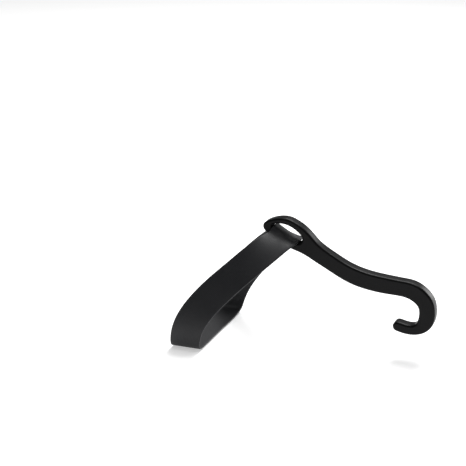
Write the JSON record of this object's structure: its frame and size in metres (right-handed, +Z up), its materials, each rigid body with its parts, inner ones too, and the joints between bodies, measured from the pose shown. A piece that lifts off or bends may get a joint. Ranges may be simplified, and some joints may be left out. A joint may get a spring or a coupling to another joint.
{
  "type": "hammer toe straightener",
  "caption": "Toe straightener: a moulded bar with an eyelet on the instep and a hook for one toe, held by an elastic strap round the foot.",
  "frame": {"origin": "point under the middle of the eyelet's lower wall, where the bar sits on the instep", "axes": "+X forward along the foot to the toes, +Y to the inner side of the foot, +Z up"},
  "size_m": [0.1529, 0.0786, 0.0782],
  "materials": {
    "toe_hook": "satin black moulding",
    "foot_strap": "smooth black woven elastic"
  },
  "bodies": {
    "root": {"toe_hook": "toe_hook", "foot_strap": "foot_strap"}
  },
  "joints": []
}
